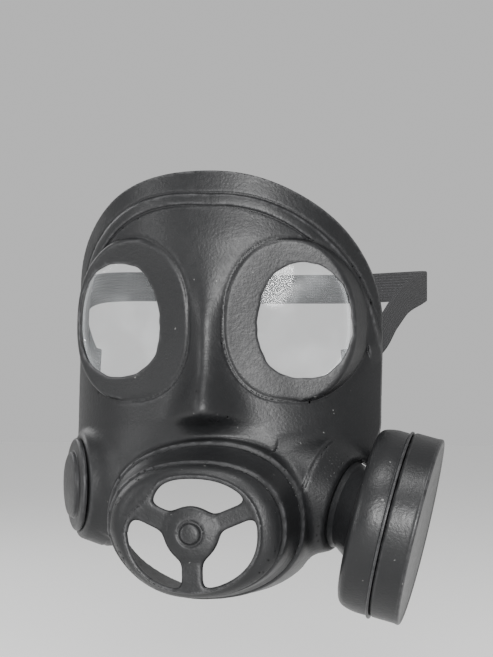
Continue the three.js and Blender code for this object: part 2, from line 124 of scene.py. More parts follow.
class Wire:   # one socket of a material, with arithmetic that adds the nodes
    def __init__(self, tree, socket=None):
        self.tree, self.socket = tree, socket

    def node(self, kind, settings=None, sockets=None, out=0):
        made = self.tree.nodes.new(kind)
        for key, value in (settings or {}).items():
            setattr(made, key, value)
        for key, value in (sockets or {}).items():
            if isinstance(value, Wire):
                self.tree.links.new(value.socket, made.inputs[key])
            elif isinstance(value, tuple) and made.inputs[key].type == "RGBA":
                made.inputs[key].default_value = (*value, 1)
            else:
                made.inputs[key].default_value = value
        return Wire(self.tree, made.outputs[out] if made.outputs else None)

    def maths(self, operation, first, second=0.0):
        return self.node("ShaderNodeMath", {"operation": operation}, {0: first, 1: second})

    def __add__(self, other): return self.maths("ADD", self, other)
    def __radd__(self, other): return self.maths("ADD", other, self)
    def __sub__(self, other): return self.maths("SUBTRACT", self, other)
    def __rsub__(self, other): return self.maths("SUBTRACT", other, self)
    def __mul__(self, other): return self.maths("MULTIPLY", self, other)
    def __rmul__(self, other): return self.maths("MULTIPLY", other, self)

    def above(self, low, high):   # 0 below low, 1 above high
        return self.node("ShaderNodeMapRange", {"interpolation_type": "SMOOTHSTEP"},
                         {"Value": self, "From Min": low, "From Max": high})

    def clouds(self, place, scale, detail=3.0, roughness=0.55):
        return self.node("ShaderNodeTexNoise", {}, {"Vector": place, "Scale": scale, "Detail": detail,
                                                    "Roughness": roughness})

    def tint(self, share, first, second):
        return self.node("ShaderNodeMix", {"data_type": "RGBA"}, {0: share, 6: first, 7: second}, 2)

    def attribute(self, name):   # the value painted on the mesh under this name
        return self.node("ShaderNodeAttribute", {"attribute_name": name}, out=2)


def newMaterial(name):
    material = bpy.data.materials.new(name)
    material.use_nodes = True
    tree = material.node_tree
    tree.nodes.clear()
    wire = Wire(tree)
    place = wire.node("ShaderNodeTexCoord", out=3)   # object coordinates, in metres
    return material, wire, place


def finishMaterial(material, wire, sockets):
    shader = wire.node("ShaderNodeBsdfPrincipled", {}, sockets)
    wire.node("ShaderNodeOutputMaterial", {}, {"Surface": shader})
    return material


rubber = {
    "dark": (0.0055, 0.0057, 0.0062),
    "light": (0.0115, 0.0118, 0.0125),
    "worn": (0.055, 0.055, 0.057),
    "dust": (0.30, 0.30, 0.29),
    "hollow": (0.012, 0.012, 0.013),
    "roughness": 0.43, "specular": 0.3,
    "patchScale": 24, "grainScale": 820, "mottleScale": 330, "dustScale": 520,
    "patchShare": 0.6, "wornShare": 0.8, "dustShare": 0.35, "hollowShare": 0.6,
    "mottleRough": 0.16, "patchRough": 0.10,
    "grainHeight": 0.75, "mottleHeight": 0.4, "bump": 0.8, "bumpDepth": 0.0002,
}


def rubberMaterial(name, sheen, wear):
    material, wire, place = newMaterial(name)
    patches = wire.clouds(place, rubber["patchScale"], 4)
    mottle = wire.clouds(place, rubber["mottleScale"], 3)
    grain = wire.clouds(place, rubber["grainScale"], 2, 0.6)
    edge = wire.attribute("worn")
    cavity = wire.attribute("cavity")
    tone = patches * rubber["patchShare"] + mottle * (1 - rubber["patchShare"])
    base = wire.tint(tone, rubber["dark"], rubber["light"])
    rub = edge * (mottle.above(0.35, 0.62) * 0.7 + 0.3) * wear
    base = wire.tint(rub * rubber["wornShare"], base, rubber["worn"])
    specks = wire.clouds(place, rubber["dustScale"], 1).above(0.78, 0.83)
    base = wire.tint(specks * rubber["dustShare"], base, rubber["dust"])
    base = wire.tint(cavity * rubber["hollowShare"], base, rubber["hollow"])
    rough = rubber["roughness"] / sheen + (mottle - 0.5) * rubber["mottleRough"]
    rough = rough + (patches - 0.5) * rubber["patchRough"]
    height = grain * rubber["grainHeight"] + mottle * rubber["mottleHeight"]
    bump = wire.node("ShaderNodeBump", {}, {"Strength": rubber["bump"], "Distance": rubber["bumpDepth"],
                                            "Height": height})
    return finishMaterial(material, wire, {
        "Base Color": base, "Roughness": rough, "Normal": bump, "Specular IOR Level": rubber["specular"],
    })


def tableValue(rows, column, at):   # a smooth curve through one column of a table
    knots = np.array([row[0] for row in rows], float)
    values = np.array([row[column] for row in rows], float)
    slope = np.empty(len(knots))
    slope[1:-1] = (values[2:] - values[:-2]) / (knots[2:] - knots[:-2])
    slope[0] = (values[1] - values[0]) / (knots[1] - knots[0])
    slope[-1] = (values[-1] - values[-2]) / (knots[-1] - knots[-2])
    at = np.clip(at, knots[0], knots[-1])
    low = np.clip(np.searchsorted(knots, at) - 1, 0, len(knots) - 2)
    span = knots[low + 1] - knots[low]
    t = (at - knots[low]) / span
    rise = values[low + 1] - values[low]
    leaving, arriving = slope[low] * span, slope[low + 1] * span
    square = 3 * rise - 2 * leaving - arriving
    return values[low] + t * (leaving + t * (square + t * (leaving + arriving - 2 * rise)))


def track(rows, column):   # the same curve, looked up quickly
    at = np.linspace(rows[0][0], rows[-1][0], 1500)
    value = tableValue(rows, column, at)
    return lambda x: np.interp(x, at, value)


def blendMin(a, b, soft):   # the lesser of two fields, rounded where they cross
    share = np.maximum(soft - np.abs(a - b), 0) / soft
    return np.minimum(a, b) - share * share * soft / 4


def blendMax(a, b, soft):
    return -blendMin(-a, -b, soft)


def line(distance, width):   # one on a line, fading to nothing within about two widths
    return np.exp(-(distance / width) ** 2)


def ovalField(u, v, wide, tall, power):   # about the distance from an oval outline, negative inside
    a, b = np.abs(u / wide) + 1e-6, np.abs(v / tall) + 1e-6
    reach = (a ** power + b ** power) ** (1 / power)
    slope = reach ** (1 - power) * np.hypot(a ** (power - 1) / wide, b ** (power - 1) / tall)
    return (reach - 1) / slope


def outward(side, back, down):   # a direction to one side, turned back and down by degrees
    back, down = math.radians(back), math.radians(down)
    level = math.cos(down)
    return np.array([side * math.cos(back) * level, math.sin(back) * level, -math.sin(down)])


face = {
    "wall": 2.0,
    "halfWidth": 69, "foreheadHeight": 65, "cheekDrop": 45, "chinDrop": 121,
    "foreheadPower": 2.25, "jawPower": 1.7, "headRound": 76.5, "lean": 3,
    "noseHeight": 14, "noseHalfWidth": 12,
    "browInset": 12.8, "browWidth": 5, "browRise": 0.85, "browTurn": 72, "browCut": 0.38,
    "browEnd": 1.04, "browFade": 0.08, "browFlank": 0.5, "browCrown": 0.25, "browCutWidth": 0.55,
    "seamDepth": 0.6, "seamWidth": 0.85,
    "middle": 0.31,   # share of the chin drop, where the turns along the hem are measured from
    "slopeStep": 0.5,
}
faceRows = [   # share of the height, back, wide, deep, square
    (-1, 0.3, 0.6, 0.6, 2), (-0.86, 0.08, 0.68, 0.62, 2.6), (-0.66, 0, 0.84, 0.7, 3.2),
    (-0.5, 0.015, 0.93, 0.85, 2.7), (-0.37, 0.03, 0.97, 0.95, 2.3), (0, 0.035, 1, 1, 2),
    (0.5, 0.03, 1, 1, 2), (0.75, 0.06, 1, 1, 2), (1, 0.09, 1, 1, 2),
]
noseRows = [   # share of the chin drop, rise, wide
    (-0.5, 0, 1.5), (-0.43, 0.08, 1.35), (-0.385, 0.35, 1.2), (-0.345, 0.95, 1.05), (-0.3, 1, 0.95),
    (-0.2, 0.65, 0.75), (-0.08, 0.4, 0.65), (0, 0.32, 0.65), (0.1, 0.13, 0.75),
    (0.2, 0.02, 0.85), (0.3, 0, 0.9),
]
browRows = [   # share of the way along the brow, share of its inset from the hem
    (0, 1), (0.3, 0.85), (0.5, 0.75), (0.7, 0.6), (0.86, 0.35), (1, 0.12),
]
faceTracks = [track(faceRows, column) for column in (1, 2, 3, 4)]
noseRise, noseWide = [track(noseRows, column) for column in (1, 2)]
browInset = track(browRows, 1)


def faceDepth(x, z):   # how far back the outer side of the face lies
    share = np.where(z > 0, z / face["foreheadHeight"], z / face["chinDrop"])
    back, wide, deep, square = [curve(share) for curve in faceTracks]
    across = np.minimum(np.abs(x) / (face["headRound"] * wide), 0.97)
    rounded = face["headRound"] * deep * (1 - (1 - across ** square) ** (1 / square))
    noseShare = z / face["chinDrop"]
    narrow = face["noseHalfWidth"] * noseWide(noseShare)
    ridge = face["noseHeight"] * noseRise(noseShare) * line(x, narrow)
    return rounded + face["headRound"] * back - ridge


def sheetField(x, y, z):   # about the distance in front of the plain face, negative behind it
    step = face["slopeStep"]
    depth = faceDepth(x, z)
    slopeX = (faceDepth(x + step, z) - depth) / step
    slopeZ = (faceDepth(x, z + step) - depth) / step
    return (depth - y) / np.sqrt(1 + slopeX ** 2 + slopeZ ** 2)


def hemField(x, z):   # about the distance outside the outline of the face
    up = z > 0
    power = np.where(up, face["foreheadPower"], face["jawPower"])
    height = np.where(up, face["foreheadHeight"], face["chinDrop"] - face["cheekDrop"])
    past = np.where(up, z, np.maximum(-face["cheekDrop"] - z, 0))
    lean = face["lean"] * np.maximum(z, 0) / face["foreheadHeight"]
    return ovalField(x + lean, past, face["halfWidth"], height, power)


def hemReach():   # distance of the hem from the face's middle, at each turn from straight up
    turns = np.linspace(-math.pi, math.pi, 1441)
    middle = -face["middle"] * face["chinDrop"]
    near, far = np.zeros_like(turns), np.full_like(turns, 2 * face["chinDrop"])
    for _ in range(40):
        half = (near + far) / 2
        inside = hemField(half * np.sin(turns), middle + half * np.cos(turns)) < 0
        near, far = np.where(inside, half, near), np.where(inside, far, half)
    return turns, near, middle


hemTurns, hemFar, hemMiddle = hemReach()


def browAcross(x, z):   # distance across the brow rib from its middle line, and how far along it is
    turn = np.arctan2(x, z - hemMiddle)
    reach = np.hypot(x, z - hemMiddle)
    along = np.abs(turn) / math.radians(face["browTurn"])
    inset = face["browInset"] * browInset(np.minimum(along, 1))
    return np.interp(turn, hemTurns, hemFar) - inset - reach, along


eye = {
    "spacing": 83, "depth": 11, "turn": 16.3,
    "halfWidth": 19.6, "halfHeight": 25, "power": 2.25, "taper": 0.06,
    "inner": 15, "outer": 1.6, "ends": 11,
    "draft": 3, "draftDepth": 27, "edge": 2.2,
    "rough": 0.16, "holeDepth": 12,
}


def eyePlane(x):   # how far back the flat round an eye lies
    return eye["depth"] + math.tan(math.radians(eye["turn"])) * (np.abs(x) - eye["spacing"] / 2)


def eyeOval(x, z, inner, outer, ends):
    low = eye["spacing"] / 2 - eye["halfWidth"] - inner
    high = eye["spacing"] / 2 + eye["halfWidth"] + outer
    tall = eye["halfHeight"] + ends
    narrower = 1 - eye["taper"] * np.clip(z / tall, -1.5, 1.5)
    u = (np.abs(x) - (low + high) / 2) / narrower
    return ovalField(u, z, (high - low) / 2, tall, eye["power"])


def plateField(x, y, z):   # the raised flat round each eye, and the distance from its outline alone
    behind = y - eyePlane(x)
    side = eyeOval(x, z, eye["inner"], eye["outer"], eye["ends"])
    side = side - eye["draft"] * np.clip(behind, 0, eye["draftDepth"]) / eye["draftDepth"]
    return blendMax(side, -behind * math.cos(math.radians(eye["turn"])), eye["edge"]), side


def eyeHoleField(x, z):   # cut by hand, so its edge wavers, and each eye in its own way
    turn = np.arctan2(z, np.abs(x) - eye["spacing"] / 2) + np.where(x > 0, 0, 2.1)
    ragged = np.sin(7 * turn + 0.6) + 0.7 * np.sin(13 * turn + 2) + 0.5 * np.sin(23 * turn)
    return eyeOval(x, z, 0, 0, 0) + eye["rough"] * ragged


snout = {
    "shift": 1.5, "drop": 91, "reach": 31, "halfWidth": 41, "halfHeight": 31, "power": 2.2,
    "mouthHalfWidth": 29, "mouthHalfHeight": 24, "rimRound": 5.0,
    "back": 24.8, "steps": (0.22, 0.76), "stepCut": 0.7, "stepWidth": 0.8,
    "slant": 0.2, "mouthSlant": 0.08, "cornerRise": 5, "cornerTurn": 147, "cornerWidth": 20,
    "chinLift": 2.2, "liftStart": 0.15, "liftSpan": 0.3, "free": 0.9,   # shares of the reach
}
snoutRows = [   # share of the reach, wide, tall
    (-0.8, 1.1, 1.26), (-0.2, 1.1, 1.26), (0.16, 1.078, 1.235), (0.27, 1.03, 1.165), (0.45, 1, 1.08),
    (0.72, 0.965, 1.0), (0.8, 0.92, 0.96), (0.93, 0.86, 0.92), (1, 0.82, 0.89), (1.2, 0.79, 0.87),
]
snoutWide, snoutTall = [track(snoutRows, column) for column in (1, 2)]
grille = {
    "hubRadius": 12, "hubFront": 33.4, "hubBack": 28.7, "buttonRadius": 4.4, "buttonFront": 34.7,
    "spokeFront": 31.5, "spokeBack": 28.4, "fillet": 5, "hubInset": 0.6, "rimLap": 1.2,
    "spokeRound": 1.8, "hubRound": 2.4, "buttonRound": 1.4, "hubBlend": 1.6, "buttonBlend": 0.5,
    "hubDome": 0.012, "buttonDome": 0.02,
    "grooveDepth": 0.7, "grooveOut": 0.9, "grooveWidth": 0.7,
    "spokes": [(22.5, 7.8), (156.5, 9.4), (271.5, 9.2)],   # turn in degrees, width
}


def leaned(x, z, slant):   # the snout is narrower at its lower left, as in the photo
    u = x - snout["shift"]
    return u * (1 + slant * (u < 0) * np.clip(-(z + snout["drop"]) / snout["halfHeight"], 0, 1))


def snoutField(x, y, z):   # the dome round the mouth
    at = -y / snout["reach"]
    tall = snout["halfHeight"] * snoutTall(at)
    wide = snout["halfWidth"] * snoutWide(at)
    top, bottom = tall - snout["drop"], -snout["drop"] - tall
    bottom = np.where(at > snout["free"], bottom, np.maximum(-face["chinDrop"], bottom))
    bottom = bottom + snout["chinLift"] * np.clip((at - snout["liftStart"]) / snout["liftSpan"], 0, 1)
    u, v = leaned(x, z, snout["slant"]), z - (top + bottom) / 2
    return ovalField(u, v, wide, (top - bottom) / 2, snout["power"])


def mouthField(x, z):   # the opening, with one corner filled by a thicker rim
    u, v = leaned(x, z, snout["mouthSlant"]), z + snout["drop"]
    turn = np.degrees(np.arctan2(v, u))
    oval = ovalField(u, v, snout["mouthHalfWidth"], snout["mouthHalfHeight"], snout["power"])
    return oval + snout["cornerRise"] * line(turn - snout["cornerTurn"], snout["cornerWidth"])


def grilleField(x, y, z):
    u, v = x - snout["shift"], z + snout["drop"]
    radius = np.hypot(u, v)
    flat = radius - grille["hubRadius"] + grille["hubInset"]
    for turn, width in grille["spokes"]:
        cosine, sine = math.cos(math.radians(turn)), math.sin(math.radians(turn))
        along, across = u * cosine + v * sine, np.abs(v * cosine - u * sine)
        flat = blendMin(flat, np.maximum(across - width / 2, -along), grille["fillet"])
    rim = mouthField(x, z)
    flat = blendMin(flat, -rim, grille["fillet"])
    middle = (grille["spokeFront"] + grille["spokeBack"]) / 2
    thick = (grille["spokeFront"] - grille["spokeBack"]) / 2
    plate = blendMax(flat, np.abs(y + middle) - thick, grille["spokeRound"])
    plate = np.maximum(plate, rim - grille["rimLap"])
    hubMiddle = (grille["hubFront"] + grille["hubBack"]) / 2
    hubThick = (grille["hubFront"] - grille["hubBack"]) / 2
    dome = grille["hubDome"] * radius ** 2
    hubFaces = np.abs(y + hubMiddle - dome / 2) - hubThick + dome / 2
    hub = blendMax(radius - grille["hubRadius"], hubFaces, grille["hubRound"])
    buttonFace = -grille["buttonFront"] - y + grille["buttonDome"] * radius ** 2
    button = blendMax(radius - grille["buttonRadius"], buttonFace, grille["buttonRound"])
    button = np.maximum(button, y + hubMiddle)
    groove = line(radius - grille["buttonRadius"] - grille["grooveOut"], grille["grooveWidth"])
    hub = hub + grille["grooveDepth"] * groove
    return blendMin(blendMin(plate, hub, grille["hubBlend"]), button, grille["buttonBlend"])


boss = {
    "radius": 27, "length": 11, "root": 18, "capEnd": 22, "neckEnd": 20.5, "edge": 1.6,
    "capSeat": (-63.5, 25.9, -73.5), "neckSeat": (57.3, 21, -80.5), "drumSeat": (65.4, 10, -85.1),
    "cut": 0.55, "cutWidth": 0.7, "cutReach": 3, "roomRadius": 20,
}
capAxis = outward(-1, -26, 0)
neckAxis = outward(1, -8, 16)
drumAxis = outward(1, 5.7, 13.5)


def turnedPlace(x, y, z, seat, axis):   # the distance from an axis and the place along it
    u, v, w = x - seat[0], y - seat[1], z - seat[2]
    along = u * axis[0] + v * axis[1] + w * axis[2]
    return np.sqrt(np.maximum(u * u + v * v + w * w - along ** 2, 1e-6)), along


def bossField(radius, along, end):   # a stub that narrows to its end, with a root inside the face
    knots = [-boss["length"], -1, 0]
    side = (radius - np.interp(along, knots, [boss["radius"], end + 1, end + 0.4])) * 0.93
    return np.maximum(blendMax(side, along, boss["edge"]), -boss["length"] - boss["root"] - along)


def softened(x, y, z):   # the soft moulding is nowhere quite even
    wave = 0.32 * (np.sin(x / 11 + z / 17 + 1) + np.sin(z / 13 - y / 9))
    drift = 0.28 * (np.sin(z / 10 + x / 21 + 2) + np.sin(x / 15 + y / 12 + 4))
    return x + drift * 0.8, y + wave, z + drift


blend = {   # how softly the forms of the face piece run into each other
    "plate": 1.6, "dome": 2.5, "boss": 3, "wall": 0.7, "mouth": 1.2, "eye": 0.8, "grille": 1.5,
}


def bossCrease(along, radius):
    return line(along + boss["length"], boss["cutWidth"]) * line(radius - boss["radius"], boss["cutReach"])


def maskField(points):   # the whole moulding: outer forms, less the hollow behind them and the openings
    x, y, z = softened(*points.T)
    sheet = sheetField(x, y, z)
    hem = hemField(x, z)
    plate, side = plateField(x, y, z)
    dome = snoutField(x, y, z)
    capRadius, capAlong = turnedPlace(x, y, z, boss["capSeat"], capAxis)
    neckRadius, neckAlong = turnedPlace(x, y, z, boss["neckSeat"], neckAxis)
    cap = bossField(capRadius, capAlong, boss["capEnd"])
    neck = bossField(neckRadius, neckAlong, boss["neckEnd"])
    bosses = np.minimum(cap, neck)
    front = -snout["reach"] - y
    domeHollow = blendMax(dome, front, snout["rimRound"])
    hollow = np.minimum(np.minimum(sheet, plate), np.minimum(domeHollow, bosses))

    across, along = browAcross(x, z)
    fade = np.clip((face["browEnd"] - along) / face["browFade"], 0, 1)
    half, flank = face["browWidth"] / 2, face["browFlank"]
    rib = face["browRise"] * np.clip((half + flank - np.abs(across)) / (2 * flank), 0, 1)
    rib = rib * (1 - face["browCrown"] * (across / half) ** 2)
    rib = rib - face["browCut"] * line(np.abs(across) - half - flank, face["browCutWidth"])
    outerSheet = sheet - rib * fade
    seam = line(plate - outerSheet, face["seamWidth"]) * line(np.minimum(side + 1.2, 0), 1.0)
    seam = np.maximum(seam, line(side + 0.4, 0.7) * line(plate - outerSheet, 2.2) * (y < 14))
    body = blendMin(np.maximum(outerSheet, hem), plate, blend["plate"])
    body = body + seam * face["seamDepth"] * (hem < -1)
    domeCut = sum(line(y + snout["reach"] * at, snout["stepWidth"]) for at in snout["steps"])
    domeCut = domeCut * snout["stepCut"]
    domeBody = np.maximum(blendMax(dome + domeCut, front, snout["rimRound"]), y - snout["back"])
    body = blendMin(body, domeBody, blend["dome"])
    crease = bossCrease(capAlong, capRadius) + bossCrease(neckAlong, neckRadius)
    crease = crease * np.clip((body - bosses) / 2, 0, 1)
    body = blendMin(body, bosses, blend["boss"]) + crease * boss["cut"]

    inside = np.maximum(sheet + face["wall"], hem)
    shell = blendMax(body, -np.minimum(hollow + face["wall"], inside), blend["wall"])
    mouth = np.maximum(mouthField(x, z), y)
    shell = blendMax(shell, -mouth, blend["mouth"])
    hole = np.maximum(eyeHoleField(x, z), np.abs(y - eyePlane(x)) - eye["holeDepth"])
    shell = blendMax(shell, -hole, blend["eye"])
    half = boss["length"] / 2
    room = np.maximum(neckRadius - boss["roomRadius"], np.abs(neckAlong - half) - half)
    shell = np.maximum(shell, -room)
    return blendMin(shell, grilleField(x, y, z), blend["grille"])


focus = {   # how near to each line of the face piece its mesh is finer
    "rib": 1.3, "ribDepth": 1.8, "ribEnd": 1.05, "seam": 1.8, "plate": 1.2, "plateInside": 3,
    "step": 1.7, "dome": 1.4, "crease": 1.6, "creaseOut": 2,
}


def maskFocus(points):   # near a groove or a bead on the outer side
    x, y, z = softened(*points.T)
    across, along = browAcross(x, z)
    sheet = sheetField(x, y, z)
    plate, side = plateField(x, y, z)
    dome = snoutField(x, y, z)
    capRadius, capAlong = turnedPlace(x, y, z, boss["capSeat"], capAxis)
    neckRadius, neckAlong = turnedPlace(x, y, z, boss["neckSeat"], neckAxis)
    half = face["browWidth"] / 2
    rib = (np.abs(np.abs(across) - half) < focus["rib"]) & (np.abs(sheet) < focus["ribDepth"])
    rib &= along < focus["ribEnd"]
    seam = (np.abs(plate - sheet) < focus["seam"]) & (np.abs(plate) < focus["plate"])
    seam &= side > -focus["plateInside"]
    step = np.zeros(len(points), bool)
    for at in snout["steps"]:
        step |= (np.abs(y + snout["reach"] * at) < focus["step"]) & (np.abs(dome) < focus["dome"])
    crease = np.zeros(len(points), bool)
    for along, radius in ((capAlong, capRadius), (neckAlong, neckRadius)):
        near = np.abs(radius - boss["radius"]) < focus["creaseOut"]
        crease |= near & (np.abs(along + boss["length"]) < focus["crease"])
    return rib | seam | step | crease


mesh = {   # of the face piece
    "low": (-76, -37, -127), "high": (76, 62, 70), "pitch": 1.3, "part": 400000,
    "rounds": 2, "finest": 1.0, "bend": 0.3, "slopeStep": 0.12, "furthest": 0.5, "curveStep": 0.9,
}


def inParts(field, points):   # a field's values, a part of the points at a time to save memory
    count = mesh["part"]
    return np.concatenate([field(points[i:i + count]) for i in range(0, len(points), count)])


def surfaceNet(field, low, high, pitch):   # quads through every cell that the surface crosses
    counts = [int((b - a) / pitch) + 2 for a, b in zip(low, high)]
    axes = [low[i] + pitch * np.arange(counts[i]) for i in range(3)]
    grid = np.stack(np.meshgrid(*axes, indexing="ij"), -1).reshape(-1, 3)
    values = inParts(field, grid).reshape(counts)
    inside = values < 0
    cells = [n - 1 for n in counts]
    corners = sum(inside[i:i + cells[0], j:j + cells[1], k:k + cells[2]].astype(np.int8)
                  for i in (0, 1) for j in (0, 1) for k in (0, 1))
    active = (corners > 0) & (corners < 8)
    index = np.full(cells, -1)
    index[active] = np.arange(active.sum())
    total, hits, quads = np.zeros((active.sum(), 3)), np.zeros(active.sum()), []
    for axis in range(3):
        first = np.take(values, np.arange(counts[axis] - 1), axis)
        second = np.take(values, np.arange(1, counts[axis]), axis)
        place = np.argwhere((first < 0) != (second < 0))
        u, v = (axis + 1) % 3, (axis + 2) % 3
        keep = (place[:, u] > 0) & (place[:, v] > 0)
        keep &= (place[:, u] < cells[u]) & (place[:, v] < cells[v])
        place = place[keep]
        a, b = first[tuple(place.T)], second[tuple(place.T)]
        point = place.astype(float)
        point[:, axis] += a / (a - b)
        around = []
        for backU, backV in ((0, 0), (1, 0), (1, 1), (0, 1)):
            cell = place.copy()
            cell[:, u] -= backU
            cell[:, v] -= backV
            found = index[tuple(cell.T)]
            around.append(found)
            for column in range(3):
                total[:, column] += np.bincount(found, point[:, column], len(total))
            hits += np.bincount(found, minlength=len(total))
        quad = np.stack(around, 1)
        quads.append(np.where((a < 0)[:, None], quad, quad[:, ::-1]))
    points = np.array(low) + pitch * total / np.maximum(hits, 1)[:, None]
    return points, np.concatenate(quads)


def slopeOf(field, points):
    columns, step = [], mesh["slopeStep"]
    for axis in range(3):
        shift = np.zeros(3)
        shift[axis] = step
        columns.append((inParts(field, points + shift) - inParts(field, points - shift)) / (2 * step))
    return np.stack(columns, 1)


def settle(field, points):   # move points onto the surface along its slope
    for _ in range(2):
        value = inParts(field, points)
        slope = slopeOf(field, points)
        move = -value[:, None] * slope / np.maximum((slope ** 2).sum(1), 0.2)[:, None]
        length = np.linalg.norm(move, axis=1)
        points = points + move * np.minimum(1, mesh["furthest"] / np.maximum(length, 1e-9))[:, None]
    return points


def refined(points, faces, split):   # divide the triangles whose edges are marked by split(ends)
    ends = np.sort(np.concatenate([faces[:, [0, 1]], faces[:, [1, 2]], faces[:, [2, 0]]]), 1)
    edges, which = np.unique(ends, axis=0, return_inverse=True)
    marked = split(edges)
    middle = np.where(marked, len(points) + np.cumsum(marked) - 1, -1)
    points = np.concatenate([points, points[edges[marked]].mean(1)])
    mids = middle[which.reshape(3, -1)].T
    made = []
    for bits in range(8):
        chosen = ((mids[:, 0] >= 0) * 1 + (mids[:, 1] >= 0) * 2 + (mids[:, 2] >= 0) * 4) == bits
        f, m = faces[chosen], mids[chosen]
        turn = {0: 0, 7: 0, 1: 0, 2: 1, 4: 2, 6: 0, 5: 1, 3: 2}[bits]
        a, b, c = [f[:, (turn + i) % 3] for i in range(3)]
        ab, bc, ca = [m[:, (turn + i) % 3] for i in range(3)]
        if bits == 0:
            parts = [(a, b, c)]
        elif bits == 7:
            parts = [(a, ab, ca), (ab, b, bc), (ca, bc, c), (ab, bc, ca)]
        elif bits in (1, 2, 4):
            parts = [(a, ab, c), (ab, b, c)]
        else:
            parts = [(a, b, bc), (a, bc, ca), (ca, bc, c)]
        made += [np.stack(part, 1) for part in parts]
    return points, np.concatenate(made)


def normalsOf(field, points):
    slope = slopeOf(field, points)
    return slope / np.maximum(np.linalg.norm(slope, axis=1), 1e-9)[:, None]


def fieldPiece(name, field, isNear):   # a mesh on a field's surface, finer at bends and where isNear says
    points, quads = surfaceNet(field, mesh["low"], mesh["high"], mesh["pitch"])
    points = settle(field, points)
    faces = np.concatenate([quads[:, [0, 1, 2]], quads[:, [0, 2, 3]]])
    for _ in range(mesh["rounds"]):
        normal = normalsOf(field, points)

        def split(edges):
            length = np.linalg.norm(points[edges[:, 0]] - points[edges[:, 1]], axis=1)
            turn = np.linalg.norm(normal[edges[:, 0]] - normal[edges[:, 1]], axis=1)
            near = isNear(points[edges].mean(1))
            return ((turn > mesh["bend"]) | near) & (length > mesh["finest"])
        points, faces = refined(points, faces, split)
        points = settle(field, points)
    normal = normalsOf(field, points)
    step = mesh["curveStep"]
    curve = -6 * inParts(field, points)   # above zero on edges, below zero in grooves
    for axis in range(3):
        shift = np.zeros(3)
        shift[axis] = step
        curve += inParts(field, points + shift) + inParts(field, points - shift)
    curve /= step ** 2
    piece = meshObject(name, points * toMetre, faces, True)
    piece.data.normals_split_custom_set_from_vertices([tuple(n) for n in normal])
    paint(piece, "worn", np.clip((curve - 0.25) / 0.9, 0, 1))
    paint(piece, "cavity", np.clip((-curve - 0.3) / 0.9, 0, 1))
    print(name, len(points), "points", len(faces), "triangles")
    return piece


def paint(piece, name, values):
    layer = piece.data.attributes.new(name, "FLOAT", "POINT")
    layer.data.foreach_set("value", np.ascontiguousarray(values, np.float32))


def facePiece(material):
    piece = fieldPiece("faceShell", maskField, maskFocus)
    piece.data.materials.append(material)
    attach(piece, "root")
    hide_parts("face_piece")


def filleted(profile, steps=6):   # profile rows of radius, distance along and corner radius
    made = []
    for i, (radius, along, soft) in enumerate(profile):
        here = np.array([radius, along], float)
        if soft == 0 or i in (0, len(profile) - 1):
            made.append(here)
            continue
        before = np.array(profile[i - 1][:2], float) - here
        after = np.array(profile[i + 1][:2], float) - here
        lengthA, lengthB = np.linalg.norm(before), np.linalg.norm(after)
        start = here + before / lengthA * min(soft, lengthA * 0.49)
        end = here + after / lengthB * min(soft, lengthB * 0.49)
        for t in np.linspace(0, 1, steps):
            made.append((1 - t) ** 2 * start + 2 * t * (1 - t) * here + t ** 2 * end)
    return np.array(made)


def ringFaces(rings, steps, first=0):   # quads between rings of points, one ring after another
    faces = []
    for start in range(first, first + (rings - 1) * steps, steps):
        for j in range(steps):
            k = (j + 1) % steps
            faces.append((start + j, start + k, start + steps + k, start + steps + j))
    return faces


def turnedPiece(name, profile, seat, axis, material, node, uneven, seed):
    steps = 160
    rows = filleted(profile)
    axis = np.array(axis)
    across = np.cross([0, 0, 1.0], axis)
    across /= np.linalg.norm(across)
    up = np.cross(axis, across)
    turn = np.linspace(0, 2 * math.pi, steps, endpoint=False)
    points, worn = [], []
    turnBefore = np.diff(rows, axis=0)
    angle = np.unwrap(np.arctan2(turnBefore[:, 1], turnBefore[:, 0]))
    bend = np.zeros(len(rows))
    bend[1:-1] = np.diff(angle) / (0.5 * (np.linalg.norm(turnBefore[1:], axis=1)
                                         + np.linalg.norm(turnBefore[:-1], axis=1)))
    for i, (radius, along) in enumerate(rows):
        wave = uneven * (np.sin(2 * turn + seed) + 0.6 * np.sin(3 * turn + along / 9 + seed * 2)
                         + 0.4 * np.sin(5 * turn + along / 5))
        share = min(1, radius / 12)
        r = radius + wave * share
        shift = along + 0.5 * uneven * np.sin(2 * turn + 1 + seed) * share
        ring = (np.array(seat) + np.outer(r * np.cos(turn), across) + np.outer(r * np.sin(turn), up)
                + np.outer(shift, axis))
        points.append(ring)
        worn.append(np.full(steps, bend[i]))
    faces = ringFaces(len(rows), steps)
    piece = meshObject(name, np.concatenate(points) * toMetre, faces, True)
    fixNormals(piece.data)
    values = np.concatenate(worn)
    paint(piece, "worn", np.clip((values - 0.2) / 1.2, 0, 1))
    paint(piece, "cavity", np.clip((-values - 0.25) / 1.2, 0, 1))
    piece.data.materials.append(material)
    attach(piece, "root")
    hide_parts(node)
    print(name, len(faces) * 2, "triangles")


def fixNormals(data):
    work = bmesh.new()
    work.from_mesh(data)
    bmesh.ops.recalc_face_normals(work, faces=work.faces)
    work.to_mesh(data)
    work.free()


cap = {
    "gap": 0.3, "radius": 21, "thickness": 2.6, "stepRadius": 15, "stepThickness": 2.2,
}


def capPiece(material):
    r, t, s = cap["radius"], cap["thickness"], cap["stepRadius"]
    top = t + cap["stepThickness"]
    profile = [(0.05, 0, 0), (r - 0.6, 0, 0), (r, 0.5, 0.6), (r, t * 0.7, 1), (r - 1.2, t, 1),
               (s + 1.2, t + 0.15, 1), (s + 0.2, t + 0.1, 0.6), (s - 0.3, top - 0.4, 1), (s - 1.6, top, 1.5),
               (6, top + 0.5, 3), (0.05, top + 0.6, 0)]
    seat = np.array(boss["capSeat"]) + capAxis * cap["gap"]
    turnedPiece("sideCap", profile, seat, capAxis, material, "side_cap", uneven=0.35, seed=1)


